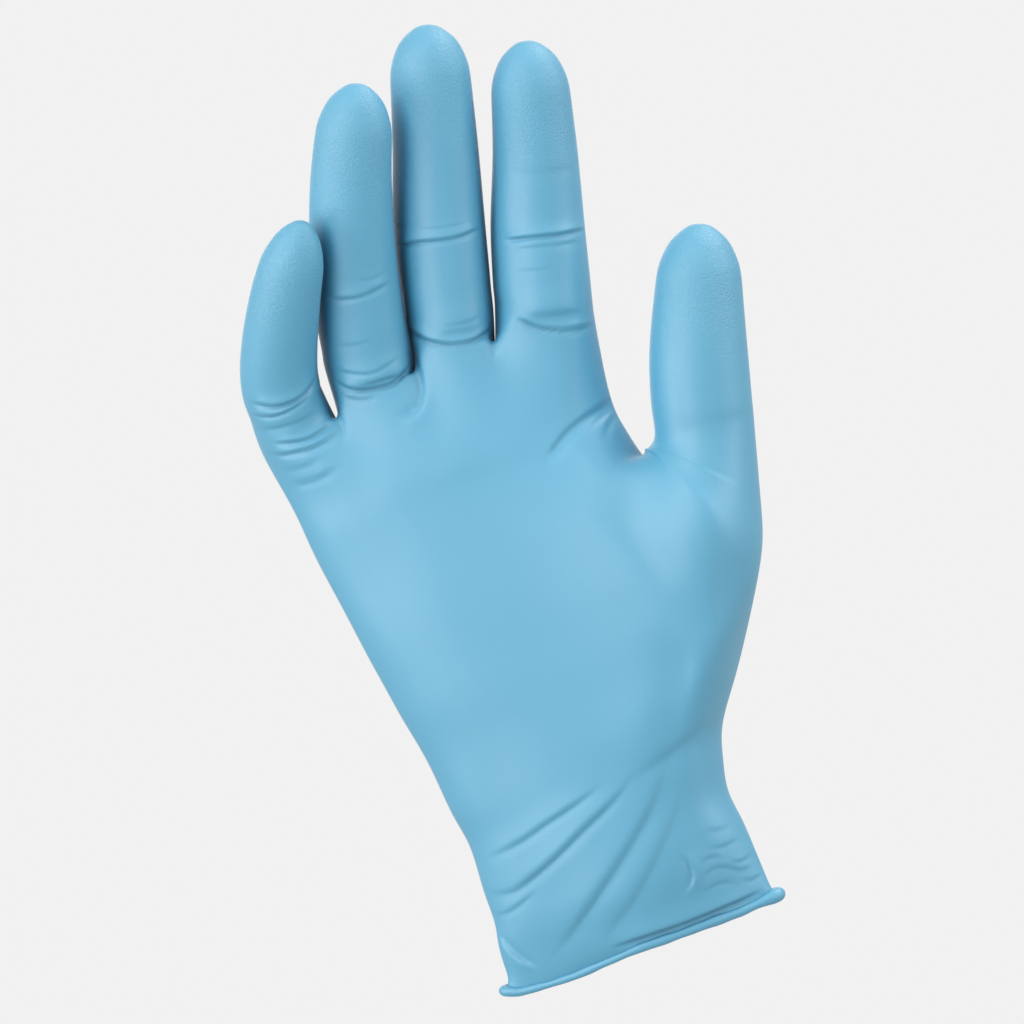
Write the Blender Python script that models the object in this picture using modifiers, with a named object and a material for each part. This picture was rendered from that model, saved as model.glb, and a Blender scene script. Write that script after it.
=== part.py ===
"""A worn nitrile glove for the right hand: a thin film with five finger stalls, a cuff and a rolled rim.

Frame: +Z runs from the cuff's mouth to the fingertips, -Y is the palm side and +X the thumb side.
The origin is the middle of the cuff's mouth.

The film is one closed surface in the real glove. Here one cage of quads describes all of it, Catmull-Clark
subdivision rounds it, and it is parted along the lines where it bends, so that each finger can flex.
"""

import math

import bmesh
import bpy
from mathutils import Vector

MM = 0.001
FILM = 0.8 * MM  # wall of the stand-in film
GAP = 0.3 * MM  # between neighbouring zones of the film
SUBDIVISIONS = 1
FIT_ROUNDS = 12  # corrections that bring the rounded surface onto the design points

COLUMNS = 8  # quads across the palm, two for each finger
RING = 8  # corners around a finger
CREASE_HALF = 0.27  # half a finger crease's length, as a share of the finger's width there
ROOT_CREASE = 0.4  # length of a finger's root crease, as a share of the first phalanx
TIP_SHOULDER = 8.5  # from a fingertip down to the ring where it starts to round off
TIP_CROWN = 2.2  # from a fingertip down to the last ring
CROWN_SHARE = 0.56  # width of that last ring, as a share of the shoulder's

FILM_COLOUR = (0.25, 0.53, 0.73, 1.0)
RIM_COLOUR = (0.22, 0.50, 0.71, 1.0)
FILM_ROUGHNESS = 0.42

# Rows of the hand and cuff, from the mouth up: height, little-finger edge, thumb edge, depth of the palm side at
# the little finger's edge, middle and thumb's edge, depth of the back.
ROWS = (
    (1.2, -36.2, 37.0, 10.5, 13.5, 10.5, 13.5),
    (11.0, -34.4, 35.6, 14.5, 17.0, 14.5, 17.0),
    (21.0, -33.2, 35.0, 16.0, 18.5, 16.5, 18.5),
    (30.0, -32.9, 34.4, 17.0, 18.5, 18.0, 19.0),
    (46.0, -34.2, 38.2, 18.0, 17.0, 20.0, 19.0),
    (64.0, -36.4, 50.3, 19.0, 15.5, 25.0, 18.0),
    (90.0, -41.3, 45.0, 18.0, 14.0, 24.0, 17.0),
    (116.0, -45.4, 41.6, 15.5, 14.0, 17.0, 16.0),
    (134.0, -47.8, 38.6, 14.0, 15.0, 14.0, 15.0),
)
CUFF_ROWS = 3  # bands of the cuff, below the wrist
THUMB_ROWS = (5, 6, 7)  # rows that bound the thumb's opening
EDGE_INSET = 0.085  # a row's first column, in from its edge, as a share of its width
EDGE_DEPTH = 0.66  # depth there, as a share of the next column's

# The row where the fingers leave the palm: little-finger edge, then the nine columns, then the thumb edge.
# Each point: across, palm-side depth, height on the palm side.
ROOT_EDGE_LITTLE = (-50.2, 0.0, 147.5)
ROOT_COLUMNS = (
    (-46.0, 9.0, 146.5),
    (-38.5, 13.0, 147.0),
    (-28.6, 8.5, 150.5),
    (-17.6, 13.5, 153.5),
    (-6.8, 8.5, 155.3),
    (4.0, 13.5, 157.0),
    (14.4, 8.5, 155.5),
    (26.0, 13.5, 154.5),
    (36.4, 9.5, 153.0),
)
ROOT_EDGE_THUMB = (40.2, 0.0, 151.0)
WEB_DROP = 0.6  # a web's middle, below its palm-side end
BACK_DROP = 3.5  # the back of the row, below its palm side
BACK_DEPTH = 0.95  # the back's depth, as a share of the palm side's

# Fingers: skeleton points (root, two knuckles, tip), then width at each, depth over width, and the twist of
# the bending plane about the finger, in degrees, towards the thumb.
FINGERS = {
    "little": {
        "skeleton": ((-39.6, 0.0, 150.5), (-41.2, -8.5, 164.5), (-35.4, -17.0, 183.0), (-26.4, -23.5, 202.0)),
        "widths": (19.6, 18.8, 17.4, 15.4),
        "depth": 0.90,
    },
    "ring": {
        "skeleton": ((-17.6, 0.0, 153.0), (-14.2, -7.0, 178.5), (-7.6, -13.0, 203.5), (1.6, -17.0, 229.4)),
        "widths": (19.2, 20.8, 20.0, 17.6),
        "depth": 0.90,
    },
    "middle": {
        "skeleton": ((4.0, 0.0, 155.5), (10.2, -4.0, 185.5), (16.9, -8.0, 209.0), (23.4, -10.5, 238.0)),
        "widths": (19.6, 22.3, 21.2, 19.0),
        "depth": 0.90,
    },
    "index": {
        "skeleton": ((26.2, 0.0, 153.5), (34.0, -3.0, 177.8), (40.5, -6.0, 199.5), (46.6, -8.0, 226.0)),
        "widths": (22.0, 23.6, 21.4, 18.8),
        "depth": 0.90,
    },
}

# The thumb: rings of the thenar, from the opening in the palm to the root crease, as inner and outer edge
# (across, height), then middle depth and half depth.
THENAR_RINGS = (
    ((43.2, 118.2), (61.0, 84.5), -6.0, 19.0),
    ((45.4, 120.6), (66.0, 101.0), -6.5, 15.5),
)
THUMB = {
    "skeleton": ((55.9, -6.5, 110.8), (63.6, -10.0, 138.0), (72.8, -13.0, 167.6)),
    "widths": (28.5, 23.6, 19.6),
    "depth": 0.90,
}
THUMB_ROOT_CREASE = 0.42
PIVOT_FORWARD = 0.42  # from a stall's centreline to its hinge, as a share of the half depth

RIM_RADIUS = 1.5
RIM_HEIGHT = -0.6  # of the rolled rim's centreline


def clear_scene():
    for obj in list(bpy.data.objects):
        bpy.data.objects.remove(obj, do_unlink=True)


def film_material(name, colour):
    """The Principled material of the dyed film."""
    material = bpy.data.materials.new(name)
    material.use_nodes = True
    shader = material.node_tree.nodes["Principled BSDF"]
    shader.inputs["Base Color"].default_value = colour
    shader.inputs["Roughness"].default_value = FILM_ROUGHNESS
    shader.inputs["Metallic"].default_value = 0.0
    return material


def curve_through(points, share):
    """The smooth curve through some points or numbers, a share of the way along (Catmull-Rom)."""
    spans = len(points) - 1
    at = min(max(share, 0.0), 1.0) * spans
    i = min(int(at), spans - 1)
    t = at - i
    before = points[i - 1] if i > 0 else 2 * points[i] - points[i + 1]
    after = points[i + 2] if i + 2 <= spans else 2 * points[i + 1] - points[i]
    a, b = points[i], points[i + 1]
    return 0.5 * (
        2 * a
        + (b - before) * t
        + (2 * before - 5 * a + 4 * b - after) * t**2
        + (3 * a - before - 3 * b + after) * t**3
    )


class Spine:
    """The centreline of a stall, in millimetres, with its width and its bending plane."""

    STEPS = 60  # in each span between knuckles

    def __init__(self, spec):
        self.points = [Vector(p) for p in spec["skeleton"]]
        self.widths = spec["widths"]
        self.depth = spec["depth"]
        spans = len(self.points) - 1
        count = self.STEPS * spans
        line = [curve_through(self.points, i / count) for i in range(count + 1)]
        self.along = [0.0]
        for a, b in zip(line, line[1:]):
            self.along.append(self.along[-1] + (b - a).length)
        self.knots = self.along[:: self.STEPS]
        self.length = self.along[-1]

    def share(self, distance):
        """How far along the knots a distance along the curve is, from 0 to 1."""
        last = len(self.along) - 1
        i = next((n for n in range(1, last) if self.along[n] >= distance), last)
        span = self.along[i] - self.along[i - 1]
        return (i - 1 + (distance - self.along[i - 1]) / span) / last

    def width(self, distance):
        return curve_through(self.widths, self.share(distance))

    def frame(self, distance):
        """Centre, direction to the tip, direction across to the thumb's side, direction to the palm side."""
        share = self.share(distance)
        step = 0.01
        behind, ahead = max(share - step, 0.0), min(share + step, 1.0)
        along = (curve_through(self.points, ahead) - curve_through(self.points, behind)).normalized()
        front = Vector((0.0, -1.0, 0.0))
        front = (front - front.dot(along) * along).normalized()
        return curve_through(self.points, share), along, along.cross(front), front

    def pivot(self, distance):
        """Where the crease at a distance turns: a little to the palm side of the centreline."""
        centre, _, _, front = self.frame(distance)
        return centre + PIVOT_FORWARD * 0.5 * self.width(distance) * self.depth * front


class Cage:
    """Quads that describe the outer surface of the whole film, each with the name of its zone."""

    def __init__(self):
        self.points = []
        self.quads = []
        self.zones = []

    def point(self, x, y, z):
        self.points.append(Vector((x, y, z)))
        return len(self.points) - 1

    def quad(self, corners, zone):
        self.quads.append(corners)
        self.zones.append(zone)

    def band(self, lower, upper, zone):
        """A ring of quads between two closed rows of corners."""
        count = len(lower)
        for i in range(count):
            j = (i + 1) % count
            self.quad((lower[i], lower[j], upper[j], upper[i]), zone)

    def ring(self, centre, side, front, half_width, half_depth):
        """Eight corners, from the palm side's little-finger corner round by the palm side."""
        turns = [math.radians(360.0 / RING * i - 45.0) for i in range(RING)]
        return [
            self.point(*(centre + math.sin(a) * half_width * side + math.cos(a) * half_depth * front))
            for a in turns
        ]

    def cap(self, ring, tip, zone):
        """Four quads that close a ring on one point."""
        top = self.point(*tip)
        for i in range(0, RING, 2):
            self.quad((ring[i], ring[(i + 1) % RING], ring[(i + 2) % RING], top), zone)


def add_row(cage, row):
    """One row of the hand: palm-side columns, thumb edge, back columns, little-finger edge."""
    z, left, right, front_little, front_middle, front_thumb, back = row
    inset = EDGE_INSET * (right - left)
    palm_side, back_side = [], []
    for column in range(COLUMNS + 1):
        share = column / COLUMNS
        x = left + inset + share * (right - left - 2 * inset)
        front = curve_through((front_little, front_middle, front_thumb), share)
        rounding = EDGE_DEPTH if column in (0, COLUMNS) else 1.0
        palm_side.append(cage.point(x, -front * rounding, z))
        back_side.append(cage.point(x, back * rounding, z))
    return palm_side, cage.point(right, 0.0, z), back_side, cage.point(left, 0.0, z)


def add_root_row(cage):
    """The row where the fingers leave the palm, and the middles of the three webs between them."""
    palm_side = [cage.point(x, -depth, z) for x, depth, z in ROOT_COLUMNS]
    back_side = [cage.point(x, BACK_DEPTH * depth, z - BACK_DROP) for x, depth, z in ROOT_COLUMNS]
    row = palm_side, cage.point(*ROOT_EDGE_THUMB), back_side, cage.point(*ROOT_EDGE_LITTLE)
    webs = {}
    for column in range(2, COLUMNS, 2):
        x, _, z = ROOT_COLUMNS[column]
        webs[column] = cage.point(x, 0.0, z - WEB_DROP)
    return row, webs


def loop_of(row):
    """A row's corners in order around the hand."""
    palm_side, thumb_edge, back_side, little_edge = row
    return [*palm_side, thumb_edge, *back_side[::-1], little_edge]


def add_hand(cage):
    """Cuff and palm. Returns the thumb's opening, the row of finger roots and the webs."""
    rows = [add_row(cage, row) for row in ROWS]
    top, webs = add_root_row(cage)
    rows.append(top)
    for i, (lower, upper) in enumerate(zip(rows, rows[1:])):
        low, high = loop_of(lower), loop_of(upper)
        count = len(low)
        for k in range(count):
            beside_thumb = k in (COLUMNS, COLUMNS + 1)
            if THUMB_ROWS[0] <= i < THUMB_ROWS[2] and beside_thumb:
                continue
            j = (k + 1) % count
            on_palm_side = k <= COLUMNS or k == count - 1
            zone = "cuff" if i < CUFF_ROWS else "palm_front" if on_palm_side else "back_of_hand"
            cage.quad((low[k], low[j], high[j], high[k]), zone)
    bottom, middle, above = (rows[i] for i in THUMB_ROWS)
    opening = [
        above[0][-1],
        middle[0][-1],
        bottom[0][-1],
        bottom[1],
        bottom[2][-1],
        middle[2][-1],
        above[2][-1],
        above[1],
    ]
    return opening, top, webs


def finger_root(name, top, webs):
    """The eight corners where a finger leaves the palm, in the order of Cage.ring."""
    palm_side, thumb_edge, back_side, little_edge = top
    first = 2 * list(FINGERS).index(name)
    left = webs.get(first, little_edge)
    right = webs.get(first + 2, thumb_edge)
    return [*palm_side[first : first + 3], right, *back_side[first : first + 3][::-1], left]


def ring_on(cage, spine, distance, scale=1.0):
    centre, _, side, front = spine.frame(distance)
    half = 0.5 * spine.width(distance) * scale
    return cage.ring(centre, side, front, half, half * spine.depth)


def crease_spans(spine, root_share):
    """Where each crease starts and ends along the spine, by the knuckle it belongs to."""
    spans = {"root": (0.0, root_share * spine.knots[1])}
    bends = spine.knots[1:-1]
    for knuckle, knot in zip(("middle", "tip")[-len(bends) :], bends):
        half = CREASE_HALF * spine.width(knot)
        spans[knuckle] = (knot - half, knot + half)
    return spans


def add_stall(cage, name, spine, root, spans):
    """One stall, from its root ring: a crease and a stiff zone for each knuckle, then the rounded tip."""
    ring = root
    stiff_zone = None
    for knuckle, (start, end) in spans.items():
        if stiff_zone:
            lower = ring_on(cage, spine, start)
            cage.band(ring, lower, stiff_zone)
            ring = lower
        upper = ring_on(cage, spine, end)
        cage.band(ring, upper, f"{name}_{knuckle}_crease")
        ring = upper
        stiff_zone = f"{name}_base" if knuckle == "root" else f"{name}_{knuckle}"
    shoulder = ring_on(cage, spine, spine.length - TIP_SHOULDER)
    crown = ring_on(cage, spine, spine.length - TIP_CROWN, CROWN_SHARE)
    cage.band(ring, shoulder, stiff_zone)
    cage.band(shoulder, crown, stiff_zone)
    cage.cap(crown, spine.points[-1], stiff_zone)


def add_thenar(cage, opening):
    """The fleshy mount of the thumb, from the opening in the palm to the thumb's root ring."""
    ring = opening
    for inner, outer, y, half_depth in THENAR_RINGS:
        inner, outer = Vector((inner[0], y, inner[1])), Vector((outer[0], y, outer[1]))
        half = (outer - inner) / 2
        placed = cage.ring(inner + half, half.normalized(), Vector((0.0, -1.0, 0.0)), half.length, half_depth)
        cage.band(ring, placed, "thumb_mount")
        ring = placed
    return ring


def film_object(cage, collection):
    """The cage as an object, moved until its subdivided surface passes through the cage's own points."""
    mesh = bpy.data.meshes.new("film")
    mesh.from_pydata([p * MM for p in cage.points], [], cage.quads)
    names = sorted(set(cage.zones))
    zone = mesh.attributes.new("zone", "INT", "FACE")
    zone.data.foreach_set("value", [names.index(z) for z in cage.zones])
    film = bpy.data.objects.new("film", mesh)
    collection.objects.link(film)
    rounding = film.modifiers.new("Rounding", "SUBSURF")
    rounding.levels = rounding.render_levels = SUBDIVISIONS
    aims = [v.co.copy() for v in mesh.vertices]
    used = {i for quad in cage.quads for i in quad}
    for _ in range(FIT_ROUNDS):
        rounded = film.evaluated_get(bpy.context.evaluated_depsgraph_get()).data
        errors = [aim - rounded.vertices[i].co for i, aim in enumerate(aims)]
        for i in used:
            mesh.vertices[i].co += errors[i]
        mesh.update()
        film.update_tag()
        bpy.context.view_layer.update()
    wall = film.modifiers.new("Wall", "SOLIDIFY")
    wall.thickness = FILM
    wall.offset = -1.0
    wall.use_even_offset = True
    wall.use_rim = False
    return film, names


def pull_back(bm, distance):
    """Move an open sheet's edge inwards, so that it stands clear of the sheet it was parted from."""
    shifts = {}
    for vert in bm.verts:
        inward = []
        for edge in vert.link_edges:
            if len(edge.link_faces) != 1:
                continue
            face = edge.link_faces[0]
            across = face.normal.cross(edge.verts[1].co - edge.verts[0].co).normalized()
            if across.dot(face.calc_center_median() - edge.verts[0].co) < 0.0:
                across = -across
            inward.append(across)
        if len(inward) == 2:
            a, b = inward
            shifts[vert] = (a + b) * distance / (1.0 + a.dot(b))
    for vert, shift in shifts.items():
        vert.co += shift


def part_zone(film, index):
    """The closed mesh of one zone of the film: its outer and inner sheets, joined along their edges."""
    bm = bmesh.new()
    bm.from_mesh(film.evaluated_get(bpy.context.evaluated_depsgraph_get()).data)
    place = bm.verts.layers.int.new("place")  # the same for an outer point and the inner one behind it
    sheet = len(bm.verts) // 2
    for vert in bm.verts:
        vert[place] = vert.index % sheet
    zone = bm.faces.layers.int["zone"]
    bmesh.ops.delete(bm, geom=[f for f in bm.faces if f[zone] != index], context="FACES")
    bm.normal_update()
    pull_back(bm, GAP / 2)
    sheets = {}
    for vert in bm.verts:
        sheets.setdefault(vert[place], []).append(vert)
    rims = {frozenset(v[place] for v in e.verts) for e in bm.edges if len(e.link_faces) == 1}
    for a, b in rims:
        (outer_a, inner_a), (outer_b, inner_b) = sheets[a], sheets[b]
        bm.faces.new((outer_a, outer_b, inner_b, inner_a))
    bmesh.ops.recalc_face_normals(bm, faces=bm.faces)
    return bm


def add_body(name, bm, origin, parent, material, collection):
    """An object with its origin at a point of the frame, parented to the body it bends from."""
    bmesh.ops.translate(bm, vec=-origin, verts=bm.verts)
    mesh = bpy.data.meshes.new(name)
    bm.to_mesh(mesh)
    bm.free()
    mesh.materials.append(material)
    body = bpy.data.objects.new(name, mesh)
    collection.objects.link(body)
    if parent:
        body.parent = parent
        body.location = origin - world_origin(parent)
    else:
        body.location = origin
    return body


def world_origin(body):
    """Where a body's origin is in the frame, through its parents."""
    place = body.location.copy()
    while body.parent:
        body = body.parent
        place += body.location
    return place


def mouth_loop(film):
    """The points around the film's open end, in order."""
    bm = bmesh.new()
    bm.from_mesh(film.evaluated_get(bpy.context.evaluated_depsgraph_get()).data)
    bm.verts.ensure_lookup_table()
    edges = [e for e in bm.edges if len(e.link_faces) == 1]
    start = max((v for e in edges for v in e.verts), key=lambda v: v.co.x)
    ring, last = [], None
    here = start
    while here is not start or not ring:
        ring.append(here.co.copy())
        last = next(e for e in here.link_edges if e is not last and len(e.link_faces) == 1)
        here = last.other_vert(here)
    bm.free()
    return ring


def rim_shape(film, collection):
    """The rolled rim: a round bead along the cuff's mouth."""
    curve = bpy.data.curves.new("rim", "CURVE")
    curve.dimensions = "3D"
    curve.bevel_depth = RIM_RADIUS * MM
    curve.bevel_resolution = 2
    ring = mouth_loop(film)
    spline = curve.splines.new("POLY")
    spline.points.add(len(ring) - 1)
    for point, place in zip(spline.points, ring):
        point.co = (place.x, place.y, RIM_HEIGHT * MM, 1.0)
    spline.use_cyclic_u = True
    bead = bpy.data.objects.new("rim", curve)
    collection.objects.link(bead)
    rolled = bpy.data.meshes.new_from_object(bead.evaluated_get(bpy.context.evaluated_depsgraph_get()))
    bpy.data.objects.remove(bead, do_unlink=True)
    bm = bmesh.new()
    bm.from_mesh(rolled)
    return bm


def build():
    clear_scene()
    collection = bpy.data.collections.new("nitrile_glove")
    bpy.context.scene.collection.children.link(collection)
    film_blue = film_material("nitrile_film", FILM_COLOUR)
    rim_blue = film_material("nitrile_rim", RIM_COLOUR)

    cage = Cage()
    opening, top, webs = add_hand(cage)
    stalls = {}
    for name, spec in FINGERS.items():
        spine = Spine(spec)
        stalls[name] = spine, crease_spans(spine, ROOT_CREASE)
        add_stall(cage, name, spine, finger_root(name, top, webs), stalls[name][1])
    spine = Spine(THUMB)
    stalls["thumb"] = spine, crease_spans(spine, THUMB_ROOT_CREASE)
    add_stall(cage, "thumb", spine, add_thenar(cage, opening), stalls["thumb"][1])
    film, zones = film_object(cage, collection)

    def add_zone(name, pivot, parent):
        shape = part_zone(film, zones.index(name))
        return add_body(name, shape, pivot, parent, film_blue, collection)

    palm = add_zone("palm_front", Vector(), None)
    for name in ("back_of_hand", "thumb_mount", "cuff"):
        add_zone(name, Vector(), palm)
    add_body("cuff_rim", rim_shape(film, collection), Vector(), palm, rim_blue, collection)
    for name, (spine, spans) in stalls.items():
        carrier = palm
        for knuckle, (start, end) in spans.items():
            pivot = spine.pivot((start + end) / 2) * MM
            add_zone(f"{name}_{knuckle}_crease", pivot, carrier)
            stiff = "base" if knuckle == "root" else knuckle
            carrier = add_zone(f"{name}_{stiff}", pivot, carrier)
    bpy.data.objects.remove(film, do_unlink=True)


build()
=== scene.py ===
"""The looks of a worn, light blue nitrile glove: its film, creases and folds, its rolled rim and its texture.

Lengths are in millimetres until a mesh is made. +Z runs from the cuff to the fingertips, -Y is the palm side
and +X the thumb side.
"""

import math

import bmesh
import bpy
import numpy as np
from mathutils import Matrix, Vector


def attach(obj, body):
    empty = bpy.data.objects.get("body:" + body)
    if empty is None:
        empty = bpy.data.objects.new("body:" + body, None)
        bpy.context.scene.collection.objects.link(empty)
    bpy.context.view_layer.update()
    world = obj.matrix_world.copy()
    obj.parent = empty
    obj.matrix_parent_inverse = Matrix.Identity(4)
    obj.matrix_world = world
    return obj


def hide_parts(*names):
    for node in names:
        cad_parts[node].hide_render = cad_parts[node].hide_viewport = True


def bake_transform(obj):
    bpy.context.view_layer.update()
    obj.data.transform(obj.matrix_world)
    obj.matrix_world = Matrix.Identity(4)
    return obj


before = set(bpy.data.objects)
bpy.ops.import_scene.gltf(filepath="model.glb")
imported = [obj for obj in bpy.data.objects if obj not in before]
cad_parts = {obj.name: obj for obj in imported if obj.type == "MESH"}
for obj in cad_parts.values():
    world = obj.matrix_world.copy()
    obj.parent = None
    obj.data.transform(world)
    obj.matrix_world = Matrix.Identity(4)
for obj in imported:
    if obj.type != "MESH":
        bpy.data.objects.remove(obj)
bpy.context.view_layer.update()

MM = 0.001
FILM = 0.35 * MM  # drawn wall of the film
DETAIL = 4  # subdivisions of the skin's cage
FIT_ROUNDS = 10  # corrections that bring the rounded surface onto the cage's own points

# --- The cage: sections of the hand, and the skeletons of the stalls -----------------------------------

COLUMNS = 8  # quads across the palm, two for each finger
# Height, little-finger edge, thumb edge, palm-side depth at the little finger, middle and thumb, depth of
# the back, and the section's exponents at the little finger and at the thumb: 2.4 is rounded, less is pinched
# and more is square.
ROWS = (
    (0.6, -36.0, 37.0, 7.0, 10.0, 7.0, 10.0, 1.5, 1.5),
    (3.4, -34.5, 36.2, 9.0, 12.0, 9.0, 12.5, 1.7, 1.7),
    (7.0, -34.3, 35.9, 10.8, 13.2, 10.6, 14.0, 1.8, 1.8),
    (12.0, -33.9, 35.6, 12.4, 14.6, 12.2, 16.0, 1.9, 2.0),
    (17.0, -33.1, 35.3, 13.4, 15.6, 13.6, 17.5, 2.0, 2.1),
    (23.0, -33.1, 34.7, 14.2, 16.2, 15.0, 18.5, 2.0, 2.2),
    (30.0, -32.9, 34.0, 15.0, 16.6, 16.2, 19.0, 2.1, 2.3),
    (38.0, -32.8, 35.5, 15.8, 17.0, 17.8, 19.0, 2.1, 2.4),
    (46.0, -34.2, 38.2, 16.4, 17.3, 19.8, 19.0, 2.1, 2.5),
    (55.0, -35.2, 44.2, 17.0, 17.6, 22.0, 18.5, 2.1, 2.8),
    (64.0, -36.4, 50.2, 17.4, 17.6, 22.6, 18.0, 2.1, 3.4),
    (73.0, -38.3, 50.0, 17.6, 17.4, 23.2, 17.5, 2.1, 5.0),
    (82.0, -39.9, 48.0, 17.4, 17.0, 23.2, 17.2, 2.1, 7.0),
    (90.0, -41.3, 45.5, 17.0, 16.6, 22.6, 17.0, 2.1, 8.0),
    (99.0, -42.7, 43.5, 16.4, 16.0, 21.2, 16.7, 2.1, 8.0),
    (108.0, -44.1, 42.0, 15.6, 15.4, 19.2, 16.3, 2.1, 6.0),
    (117.2, -45.6, 41.2, 14.8, 14.8, 16.6, 15.5, 2.2, 3.6),
    (125.5, -46.5, 39.0, 14.2, 14.4, 14.6, 14.5, 2.3, 2.6),
    (135.0, -47.7, 38.4, 13.2, 13.8, 13.6, 13.0, 2.4, 2.4),
)
THUMB_ROWS = (10, 16)  # rows that bound the thumb's opening
EDGE_INSET = 0.085  # a row's first column, in from its edge, as a share of its width

ROOT_EDGE_LITTLE = (-50.0, 0.0, 148.5)
# Across, palm-side depth and height of the row where the fingers leave the palm.
ROOT_COLUMNS = (
    (-46.0, 8.5, 147.4),
    (-38.5, 11.2, 147.0),
    (-28.9, 8.5, 150.5),
    (-17.6, 11.4, 153.2),
    (-6.6, 8.5, 155.2),
    (4.0, 11.4, 156.8),
    (14.6, 8.5, 155.6),
    (27.0, 11.4, 153.6),
    (36.6, 9.0, 152.6),
)
ROOT_EDGE_THUMB = (40.4, 0.0, 151.0)
WEB_DROP = 0.6
BACK_DROP = 3.5
BACK_DEPTH = 1.0

# Skeleton points of each stall (root, knuckles, tip), its width there, and how deep the pads are there as a
# share of half the width. The back of every stall has the same share.
BACK_SHARE = 0.90
STALLS = {
    "little": {
        "skeleton": ((-39.6, 0.0, 150.5), (-39.6, -8.5, 165.0), (-31.4, -20.0, 183.2), (-20.6, -29.0, 199.7)),
        "widths": (19.6, 19.8, 17.8, 13.6),
        "pads": (1.04, 0.94, 0.90, 0.86),
    },
    "ring": {
        "skeleton": ((-18.0, 0.0, 153.0), (-14.1, -8.5, 178.5), (-7.1, -17.0, 203.3), (3.4, -24.5, 228.1)),
        "widths": (22.6, 22.4, 20.8, 17.8),
        "pads": (1.04, 0.94, 0.90, 0.86),
    },
    "middle": {
        "skeleton": ((4.0, 0.0, 155.5), (10.4, -4.0, 185.5), (17.1, -8.5, 209.0), (24.6, -14.5, 237.2)),
        "widths": (21.6, 23.4, 21.6, 19.2),
        "pads": (1.04, 0.94, 0.90, 0.86),
    },
    "index": {
        "skeleton": ((27.8, 0.0, 153.5), (34.2, -3.5, 178.6), (40.5, -7.5, 199.5), (47.1, -13.0, 225.3)),
        "widths": (25.2, 24.1, 21.4, 18.6),
        "pads": (1.04, 0.94, 0.90, 0.86),
    },
    "thumb": {
        "skeleton": ((56.2, -6.5, 110.8), (62.4, -10.0, 136.0), (73.5, -13.0, 167.5)),
        "widths": (25.2, 25.0, 18.8),
        "pads": (1.03, 0.93, 0.86),
    },
}
FINGERS = ("little", "ring", "middle", "index")
THENAR_RINGS = (  # inner edge, outer edge (across, height), middle depth, half depth
    ((41.9, 118.0), (56.6, 75.0), -5.0, 18.6),
    ((42.6, 118.3), (62.4, 86.0), -5.6, 17.2),
    ((43.9, 118.9), (65.9, 98.0), -6.0, 15.2),
)
RING_STEP = 5.5  # between the rings of a stall
ROOT_CLEAR = 2.5  # from the root to where the rings start
TIP_LENGTH = 13.5  # rounded end of a stall, an elliptical dome
TIP_TURNS = (20.0, 40.0, 58.0, 74.0)  # degrees round the dome, where its rings are


def curve_through(points, share):
    """The smooth curve through some points or numbers, a share of the way along (Catmull-Rom)."""
    spans = len(points) - 1
    at = min(max(share, 0.0), 1.0) * spans
    i = min(int(at), spans - 1)
    t = at - i
    a, b = points[i], points[i + 1]
    before = points[i - 1] if i > 0 else 2 * a - b
    after = points[i + 2] if i + 2 <= spans else 2 * b - a
    return 0.5 * (
        2 * a
        + (b - before) * t
        + (2 * before - 5 * a + 4 * b - after) * t**2
        + (3 * a - before - 3 * b + after) * t**3
    )


class Spine:
    """The centreline of a stall, with its width."""

    STEPS = 60  # in each span between knuckles

    def __init__(self, spec):
        self.points = [Vector(p) for p in spec["skeleton"]]
        self.widths = spec["widths"]
        self.pads = spec["pads"]
        count = self.STEPS * (len(self.points) - 1)
        line = [curve_through(self.points, i / count) for i in range(count + 1)]
        self.along = [0.0]
        for a, b in zip(line, line[1:]):
            self.along.append(self.along[-1] + (b - a).length)
        self.knots = self.along[:: self.STEPS]
        self.length = self.along[-1]

    def share(self, distance):
        last = len(self.along) - 1
        i = next((n for n in range(1, last) if self.along[n] >= distance), last)
        span = self.along[i] - self.along[i - 1]
        return (i - 1 + (distance - self.along[i - 1]) / span) / last

    def width(self, distance):
        return curve_through(self.widths, self.share(distance))

    def depths(self, distance):
        """Towards the palm side and towards the back."""
        half = 0.5 * self.width(distance)
        return half * curve_through(self.pads, self.share(distance)), half * BACK_SHARE

    def frame(self, distance):
        """Centre, direction to the tip, direction across to the thumb's side, direction to the palm side."""
        share = self.share(distance)
        behind, ahead = max(share - 0.01, 0.0), min(share + 0.01, 1.0)
        along = (curve_through(self.points, ahead) - curve_through(self.points, behind)).normalized()
        front = Vector((0.0, -1.0, 0.0))
        front = (front - front.dot(along) * along).normalized()
        return curve_through(self.points, share), along, along.cross(front), front

    def middle(self, knuckle):
        """Half-way between two knuckles, where one drawn piece of the stall ends and the next begins."""
        return (self.knots[knuckle] + self.knots[knuckle + 1]) / 2


SPINES = {name: Spine(spec) for name, spec in STALLS.items()}


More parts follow.
